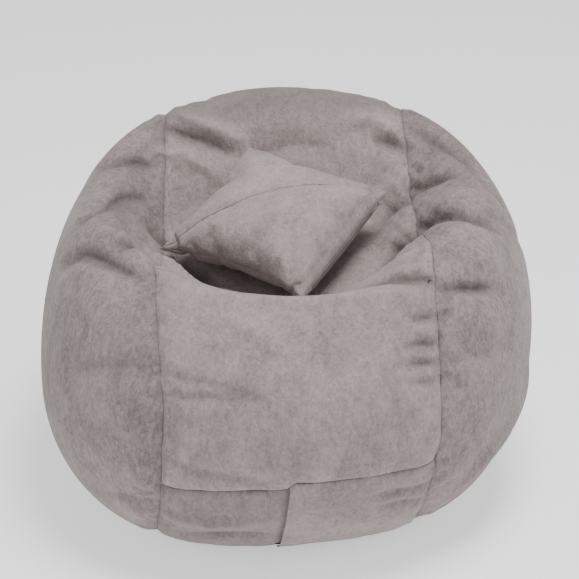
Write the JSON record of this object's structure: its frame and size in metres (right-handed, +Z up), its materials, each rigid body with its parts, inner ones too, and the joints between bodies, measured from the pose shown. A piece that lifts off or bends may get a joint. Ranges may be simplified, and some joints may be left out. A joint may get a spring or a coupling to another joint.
{
  "type": "bean bag chair",
  "caption": "Soft bean bag chair with a hollowed seat, a raised back and a loose scatter cushion, closed by a flapped front band and a zipped base.",
  "frame": {"origin": "middle of the flat underside, on the floor, under the middle of the bag's box", "axes": "+X to the sitter's left as seen from the front (the viewer's right), +Y towards the raised back, +Z up; the front is towards -Y"},
  "size_m": [0.926, 0.884, 0.68],
  "materials": {
    "suede_cover": "brushed microsuede, matt, soft nap",
    "suede_side": "brushed microsuede, matt, the nap lying the other way",
    "suede_cushion": "brushed microsuede, matt, paler",
    "base_cloth": "dark woven non-slip base cloth",
    "liner_cloth": "plain woven liner cloth",
    "casing_cloth": "non-woven inner casing",
    "foam_beads": "expanded polystyrene beads as one body",
    "hollow_fibre": "hollow polyester fibre",
    "zip_tape": "woven zip tape with a nylon coil",
    "dark_zip_tape": "woven zip tape with a nylon coil",
    "nickel": "dull nickel plate"
  },
  "bodies": {
    "bag": {"centre_panel": "suede_cover", "left_closure_band": "suede_cover", "right_closure_band": "suede_cover", "left_side_panel": "suede_side", "right_side_panel": "suede_side", "base_panel": "base_cloth", "liner_body": "liner_cloth", "liner_base": "liner_cloth", "bead_fill": "foam_beads", "liner_zip_left_tape": "zip_tape", "liner_zip_right_tape": "zip_tape", "cover_zip_left_tape": "dark_zip_tape", "cover_zip_right_tape": "dark_zip_tape"},
    "closure_flap": {"closure_flap": "suede_cover"},
    "cover_zip_slider": {"cover_zip_slider": "nickel"},
    "liner_zip_slider": {"liner_zip_slider": "nickel"},
    "cushion": {"cushion_front_upper_panel": "suede_cushion", "cushion_front_lower_panel": "suede_cushion", "cushion_back_panel": "suede_cushion", "cushion_casing_front": "casing_cloth", "cushion_casing_back": "casing_cloth", "cushion_fibre_fill": "hollow_fibre", "cushion_zip_upper_tape": "zip_tape", "cushion_zip_lower_tape": "zip_tape", "cushion_corner_tab": "zip_tape"},
    "cushion_zip_slider": {"cushion_zip_slider": "nickel"},
    "cushion_zip_pull": {"cushion_zip_pull": "nickel"}
  },
  "joints": [
    {"name": "closure_flap_fold", "type": "hinge", "parent": "bag", "child": "closure_flap", "pos_m": [0.042, -0.3874, 0.12044], "axis": [0, -0.5202, 0.8541], "range_deg": [0, 30]},
    {"name": "cover_zip_slide", "type": "slide", "parent": "bag", "child": "cover_zip_slider", "axis": [0, 1, 0], "range_m": [0, 0.335]},
    {"name": "liner_zip_slide", "type": "slide", "parent": "bag", "child": "liner_zip_slider", "axis": [0, 1, 0], "range_m": [0, 0.275]},
    {"name": "cushion_lift", "type": "slide", "parent": "bag", "child": "cushion", "axis": [0, 0, 1], "range_m": [0, 0.4]},
    {"name": "cushion_zip_slide", "type": "slide", "parent": "cushion", "child": "cushion_zip_slider", "axis": [-0.5583, -0.772, -0.3038], "range_m": [0, 0.205]},
    {"name": "cushion_zip_pull_hinge", "type": "hinge", "parent": "cushion_zip_slider", "child": "cushion_zip_pull", "pos_m": [0.16625, -0.00604, 0.56449], "axis": [-0.1398, -0.2734, 0.9517], "range_deg": [0, 110]}
  ]
}
